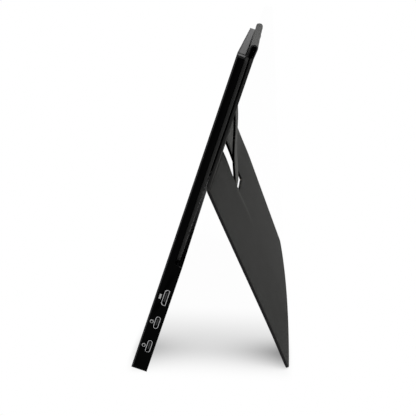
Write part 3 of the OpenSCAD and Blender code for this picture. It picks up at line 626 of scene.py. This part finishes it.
def cover_panel(name, body, leather, facing, face_behind=True, crown=None, bend=None,
                more=()):
    """One panel: leather wrap with rounded edges, and the facing sheet glued on its other
    side. The crown says how far its wrapped face swells at each place but its side edges."""
    place, thick = panel_place(name)
    wrap = panel_outline(name, name + "_leather", place)
    face = panel_outline(name, name + "_facing", place)
    half_w = max(v.co.x for v in wrap.data.vertices)
    foot = min(v.co.z for v in wrap.data.vertices)
    if face_behind:
        lay_sheet(wrap, -thick, -face_ply)
        lay_sheet(face, -face_skin, 0, face_trim)
        outside, face_rim = -thick, 0
    else:
        lay_sheet(wrap, -thick + face_ply, 0)
        lay_sheet(face, -thick, -thick + face_skin, face_trim)
        outside, face_rim = 0, -thick
    soften(wrap, rim_at(outside), wrap_round, 3)
    soften(face, rim_at(face_rim), face_round, 4)
    for piece in (wrap, face):
        slice_up(piece, steps_between(-half_w, half_w, slices_across) + list(more),
                 steps_between(foot, 0, slices_along))
    if crown:
        for vertex in wrap.data.vertices:
            if abs(vertex.co.y - outside) < hair:
                share = 1 - abs(vertex.co.x / half_w) ** 6
                swell = share * crown(vertex.co.x, vertex.co.z)
                vertex.co.y += math.copysign(swell, outside + thick / 2)
    if bend:
        bend_piece(wrap, bend)
        bend_piece(face, bend)
    for piece in (wrap, face):
        piece.data.transform(place)
    finish_piece(wrap, leather, body, "cover_leather", name + "_wrap")
    finish_piece(face, facing, body, "cover_lining", name + "_lining")


def bent_inside(node, finish, slot, body, place, bend):
    """A board or magnets inside a bent panel, bent with it."""
    piece = worked_copy(node, node + "_bent")
    piece.data.transform(place.inverted())
    half_w = max(v.co.x for v in piece.data.vertices)
    foot = min(v.co.z for v in piece.data.vertices)
    slice_up(piece, steps_between(-half_w, half_w, 15), steps_between(foot, 0, 17))
    bend_piece(piece, bend)
    piece.data.transform(place)
    finish_piece(piece, bpy.data.materials[finish], body, slot, node)


# ---------------------------------------------------------------- rear plate and flap
# The plate lies in the recess behind the screen and the flap hangs behind it from the loop.
# Both swell until they touch. The fold between flap and stand stands off from its middle to
# its left end, and the plate swells after it beside the slot.
gap_half = 0.49 * MM
fold_lift = 1.75 * MM
lift_reach = 45 * MM         # up the flap
lift_tail = 20 * MM          # down the plate
slot_rim = 8 * MM
slot_clear = 2 * MM          # between the strut's edge and the slot's
slot_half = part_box("strut_wrap")[1].x + slot_clear
flap_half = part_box("flap_wrap")[1].x
flap_place = panel_place("flap")[0]
flap_foot = min(
    (flap_place.inverted() @ v.co).z for v in frame["nodes"]["flap_wrap"].data.vertices)


def off_fold(x):
    """Share of the fold's lift: none at its right end, all of it from the slot onwards."""
    return 1 - max(0.0, (x + slot_half) / (flap_half + slot_half)) ** 2


def bend_flap(x, y, z):
    return fold_lift * off_fold(x) * (1 - smooth(0, lift_reach, z - flap_foot)), 0.0


def swell_plate(x, z):
    lift = bend_flap(x, 0, max(z, flap_foot))[0] * smooth(flap_foot - lift_tail, flap_foot, z)
    return (gap_half * smooth(slot_half, slot_half + slot_rim, abs(x))
            + lift * smooth(slot_half, slot_half + slot_rim, x))


cover_panel("plate", "monitor", cover_leather, cover_lining, face_behind=False,
            crown=swell_plate)

# The facing is painted a little lighter along the fold, left of the strut, and along a crease in
# the stand, below the slot's right side: painted highlights where the fold and the crease's
# ridge catch the light.
crease_x, crease_w, crease_h = 34 * MM, 5.0 * MM, 0.35 * MM
crease_top, crease_low = 33 * MM, 76 * MM    # below the fold line
crease_start = 5 * MM
lean_cos = math.cos(math.radians(24))        # the open stand's lean, from upright
fold_highlight_x, fold_highlight_z = (-60 * MM, 0), (-26 * MM, -6 * MM)    # z from the fold line
stand_axis = Vector(joints["stand_fold"]["pos_m"])


# Painted highlights: a lighter band along the fold at the left, and a lighter line along the
# crease's ridge.
def painted_fold_highlights(nodes, x, y, z):
    fold_highlight = math_node(nodes, "MULTIPLY", ramp_node(nodes, x, *fold_highlight_x, 1, 0), ramp_node(
        nodes, z, stand_axis.z + fold_highlight_z[0], stand_axis.z + fold_highlight_z[1], 0, 1.3))
    off_crease = math_node(nodes, "ABSOLUTE", math_node(nodes, "SUBTRACT", x, crease_x))
    crease_z = stand_axis.z - crease_top * lean_cos
    crease_highlight = ramp_node(nodes, off_crease, 0, 2.2 * crease_w, 1, 0)
    crease_highlight = math_node(nodes, "MULTIPLY", crease_highlight, ramp_node(
        nodes, z, stand_axis.z - crease_low * lean_cos, crease_z, 0, 0.6))
    crease_highlight = math_node(nodes, "MULTIPLY", crease_highlight,
                        ramp_node(nodes, z, crease_z, crease_z + crease_start * lean_cos, 1, 0))
    return math_node(nodes, "ADD", math_node(nodes, "ADD", fold_highlight, crease_highlight), 1)


worn_lining = shaded(cover_lining, "worn_lining", painted_fold_highlights)
cover_panel("flap", "flap", cover_leather, worn_lining, crown=lambda x, z: gap_half,
            bend=bend_flap)
bent_inside("flap_board", "board_grey", "grey_board", "flap", flap_place, bend_flap)

# ---------------------------------------------------------------- stand panel
# The flap's lower panel opens as the stand. It has bowed and twisted a little in use, and
# its facing has a faint crease below the slot's right side.
stand_place = panel_place("stand")[0]
stand_root = (stand_place.inverted() @ stand_axis).z    # from its top edge to the fold line
stand_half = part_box("stand_wrap")[1].x
stand_len = stand_root - min(
    (stand_place.inverted() @ v.co).z for v in frame["nodes"]["stand_wrap"].data.vertices)
stand_out = stand_place.to_3x3() @ Vector((0, 1, 0))
foot_lean = stand_out.z / stand_out.y    # keeps the foot's corners on the table
crease_fade = 30 * MM
stand_bow = 2.0 * MM
left_swell, left_drop = 1.8 * MM, 4.3 * MM
right_swell, right_loses = 0.9 * MM, 0.4     # and the share that it loses to the foot
lift_keeps, lift_gone = 4 * MM, 30 * MM      # these five lie so far below the fold line
left_full, drop_start, right_full = 32 * MM, 42 * MM, 110 * MM
edge_black = grained("edge_black", (0.008, 0.008, 0.0085), 0.6, grain=1500, variation=0.25,
                     bump=0.5, depth=0.06, specular=0.15, group=leather_grain)


def bend_stand(x, y, z):
    down = stand_root - z
    left = ((1 - x / stand_half) / 2) ** 2
    out = fold_lift * off_fold(x) * (1 - smooth(lift_keeps, lift_gone, down))
    out += left * (left_swell * smooth(0, left_full, down)
                   - left_drop * max(0.0, down - drop_start) / (stand_len - drop_start))
    out += (1 - left) * right_swell * (
        smooth(0, right_full, down) - right_loses * smooth(right_full, stand_len, down))
    along = -out * foot_lean * down / stand_len
    out += stand_bow * max(0.0, 1 - (x / stand_half) ** 2) * down / stand_len
    if abs(y) < hair:
        out += crease_h * math.exp(-((x - crease_x) / crease_w) ** 2) * (
            smooth(crease_top - crease_start, crease_top, down)
            - smooth(crease_low - crease_fade, crease_low, down))
    return out, along


cover_panel("stand", "stand", edge_black, worn_lining, bend=bend_stand,
            more=[crease_x + 0.6 * crease_w * step for step in (-3, -2, -1, 0, 1, 2, 3)])
bent_inside("stand_board", "board_grey", "grey_board", "stand", stand_place, bend_stand)
bent_inside("stand_magnets", "magnet_nickel", "magnet_nickel", "stand", stand_place, bend_stand)

# ---------------------------------------------------------------- strut
# A narrow leaf cut out of both panels. It turns on the leather at its top and props the
# stand, with its tip against the end of the slot. It has sagged a little between the two.
strut_axis = Vector(joints["strut_fold"]["pos_m"])
strut_place = panel_place("strut")[0]
strut_root = (strut_place.inverted() @ strut_axis).z
strut_len = strut_root - min(
    (strut_place.inverted() @ v.co).z for v in frame["nodes"]["strut_wrap"].data.vertices)
strut_dip = 2.0 * MM
dip_start, dip_full = 8 * MM, 42 * MM    # below its fold
tip_rise = 0.3                           # share of the dip that the tip regains


def bend_strut(x, y, z):
    down = strut_root - z
    return -strut_dip * (smooth(dip_start, dip_full, down)
                         - tip_rise * smooth(dip_full, strut_len, down)), 0.0


# A lighter copy of the lining for the strut: painted sheen on its face, which is seen nearly
# edge-on.
strut_lining = grained("strut_lining", (0.105, 0.105, 0.10), 0.8, grain=1900, variation=0.22,
                       bump=0.4, depth=0.05, specular=0.06, group=leather_grain)
cover_panel("strut", "strut", edge_black, strut_lining, bend=bend_strut)
bent_inside("strut_board", "board_grey", "grey_board", "strut", strut_place, bend_strut)

# ---------------------------------------------------------------- soft folds
# Along the fold line the boards stop, and wrap and lining are pressed together into a
# living hinge. The strut hangs on a narrower one, of the lining alone.


def fold_strip(name, x_low, x_high, half_t, pinch, z_high, z_low, fold, angle, lift=0.0):
    """A strip of leather across a fold, thinner in the middle, in axes at the fold."""
    bpy.ops.object.select_all(action="DESELECT")
    bpy.ops.mesh.primitive_cube_add(size=1)
    piece = bpy.context.object
    piece.name = name
    for vertex in piece.data.vertices:
        x, y, z = vertex.co
        vertex.co = (x_high if x > 0 else x_low, 2 * half_t * y, z_high if z > 0 else z_low)
    slice_up(piece, steps_between(x_low, x_high, 15), steps_between(z_low, z_high, 7))
    for vertex in piece.data.vertices:
        x, y, z = vertex.co
        far = min(1.0, abs(z) / z_high)
        y *= pinch + (1 - pinch) * far ** 1.5
        turn = angle * min(1.0, max(0.0, (0.6 * z_high - z) / (1.2 * z_high)))
        y += lift * off_fold(x)
        vertex.co = (x, y * math.cos(turn) - z * math.sin(turn),
                     y * math.sin(turn) + z * math.cos(turn))
    piece.data.transform(Matrix.Translation(fold) @ slab_place.to_3x3().to_4x4())
    return piece


open_angle = slab_out.angle(stand_out)
strut_turn = slab_out.angle(strut_place.to_3x3() @ Vector((0, 1, 0)))
end_gap = 0.3 * MM
strips = []
for side in (-1, 1):
    x_low, x_high = sorted((side * (slot_half + end_gap), side * (flap_half - end_gap)))
    strips.append(fold_strip("stand_fold", x_low, x_high, half_t=1.05 * MM, pinch=0.42,
                             z_high=1.6 * MM, z_low=-1.6 * MM, fold=stand_axis,
                             angle=open_angle, lift=fold_lift))
bpy.ops.object.select_all(action="DESELECT")
for strip in strips:
    strip.select_set(True)
bpy.context.view_layer.objects.active = strips[0]
bpy.ops.object.join()
stand_fold = strips[0]
stand_fold.data.materials.append(cover_lining)
take(stand_fold)
round_below = math.radians(50)    # the folds are shaded round
bpy.ops.object.shade_smooth_by_angle(angle=round_below)
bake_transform(stand_fold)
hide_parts("stand_fold_leather")

strut_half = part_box("strut_wrap")[1].x
strut_fold = fold_strip("strut_fold", -strut_half, strut_half, half_t=0.24 * MM, pinch=1.0,
                        z_high=0.3 * MM, z_low=-1.4 * MM, fold=strut_axis, angle=strut_turn)
strut_fold.data.materials.append(cover_lining)
take(strut_fold)
bpy.ops.object.shade_smooth_by_angle(angle=round_below)
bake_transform(strut_fold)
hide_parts("strut_fold_leather")

# ---------------------------------------------------------------- top loop
# One strip of leather goes from the plate over the top edge to the flap. It is open at its
# ends, so from the side it reads as a thin arch of leather round a dark hollow.
front_pivot = to_slab @ Vector(joints["spine_fold"]["pos_m"])
rear_pivot = to_slab @ Vector(joints["flap_fold"]["pos_m"])
loop_middle = (front_pivot + rear_pivot) / 2
loop_half_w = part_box("spine_top")[1].x
top_points = [to_slab @ v.co for v in frame["nodes"]["spine_top"].data.vertices]
loop_r = max(p.z for p in top_points) - loop_middle.z
loop_t = 2 * (loop_r - (rear_pivot - front_pivot).length / 2)
set_back = 0.65 * MM     # the loop's front keeps this much off the case
left_closes = 0.6        # but for this share of it at the left end
left_nod = 1.0 * MM      # where its round also leans over the case's edge
nod_from, nod_to = case_h - 1 * MM, case_h + 2 * MM
wave_out, wave_up = 0.16 * MM, 0.10 * MM
leg_tuck = 0.2 * MM      # its legs reach this far below the panels' top edges
foot_sink = 0.05 * MM
round_steps, leg_slices, loop_slices = 7, 4, 41
loop_middle.y += set_back / 2
loop_r -= set_back / 2
# A lighter copy of the panels' leather for the loop: painted light on the round that faces up.
loop_leather = grained("loop_leather", (0.095, 0.095, 0.093), 0.7, grain=1900,
                       variation=0.22, bump=0.4, depth=0.05, specular=0.1,
                       group=leather_grain)
plate_box_y = [(to_slab @ v.co).y for v in frame["nodes"]["plate_wrap"].data.vertices]
flap_box_y = [(to_slab @ v.co).y for v in frame["nodes"]["flap_wrap"].data.vertices]
panel_top = max((to_slab @ v.co).z for v in frame["nodes"]["flap_wrap"].data.vertices)


def loop_half(name, side, foot_y, nodes):
    """Half of the loop, from a panel's top edge (side -1 the plate, 1 the flap) to the top
    of the round."""
    bpy.ops.object.select_all(action="DESELECT")
    bpy.ops.mesh.primitive_plane_add(size=2)
    piece = bpy.context.object
    piece.name = name
    knee = (loop_middle.y + side * loop_r, loop_middle.z)
    for vertex in piece.data.vertices:
        x, y, z = vertex.co
        low = y < 0
        vertex.co = (x * loop_half_w, foot_y if low else knee[0],
                     panel_top - leg_tuck if low else knee[1])
    bpy.ops.object.mode_set(mode="EDIT")
    bpy.ops.mesh.select_mode(type="EDGE")
    bpy.ops.mesh.select_all(action="DESELECT")
    work = bmesh.from_edit_mesh(piece.data)
    for edge in work.edges:
        edge.select_set(all(abs(v.co.z - knee[1]) < hair for v in edge.verts))
    bmesh.update_edit_mesh(piece.data)
    bpy.ops.mesh.spin(steps=round_steps, angle=-side * math.pi / 2,
                      center=(0, loop_middle.y, knee[1]), axis=(1, 0, 0))
    bpy.ops.object.mode_set(mode="OBJECT")
    slice_up(piece, steps_between(-loop_half_w, loop_half_w, loop_slices), [])
    slice_up(piece, [], steps_between(panel_top - leg_tuck, knee[1], leg_slices))
    bpy.ops.object.mode_set(mode="EDIT")
    bpy.ops.mesh.select_all(action="SELECT")
    bpy.ops.mesh.remove_doubles(threshold=hair / 2)
    bpy.ops.mesh.normals_make_consistent(inside=False)
    bpy.ops.object.mode_set(mode="OBJECT")
    outward = sum((face.center - loop_middle).dot(face.normal) * face.area
                  for face in piece.data.polygons)
    if outward < 0:
        bpy.ops.object.mode_set(mode="EDIT")
        bpy.ops.mesh.flip_normals()
        bpy.ops.object.mode_set(mode="OBJECT")
    for vertex in piece.data.vertices:
        x, y, z = vertex.co
        lift = max(0.0, (z - panel_top) / (loop_middle.z - panel_top))
        wave = math.sin(x * 47 + 1.1) * 0.5 + math.sin(x * 83 + 0.4) * 0.5
        if side < 0:    # the gap to the case narrows towards the left end
            from_seam = min(1.0, (loop_middle.y - vertex.co.y) / loop_r)
            left = (1 - x / loop_half_w) / 2
            vertex.co.y -= left * from_seam * (
                left_closes * set_back + left_nod * smooth(nod_from, nod_to, z))
        vertex.co.y += wave_out * wave * lift
        vertex.co.z += wave_up * math.sin(x * 61) * lift
    wall = piece.modifiers.new("wall", "SOLIDIFY")
    wall.thickness = loop_t
    wall.offset = -1
    bpy.ops.object.modifier_apply(modifier="wall")
    piece.data.materials.append(loop_leather)
    piece.data.materials.append(edge_black)
    for face in piece.data.polygons:
        face.material_index = int(abs(face.normal.x) > 0.7)
    piece.data.transform(slab_place)
    take(piece)
    bpy.ops.object.shade_smooth_by_angle(angle=sharp_above)
    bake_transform(piece)
    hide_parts(*nodes)


loop_half("loop_plate_half", -1, min(plate_box_y) + foot_sink + set_back,
          ["spine_plate_side", "spine_top"])
loop_half("loop_flap_half", 1, max(flap_box_y) - foot_sink,
          ["spine_flap_side"])
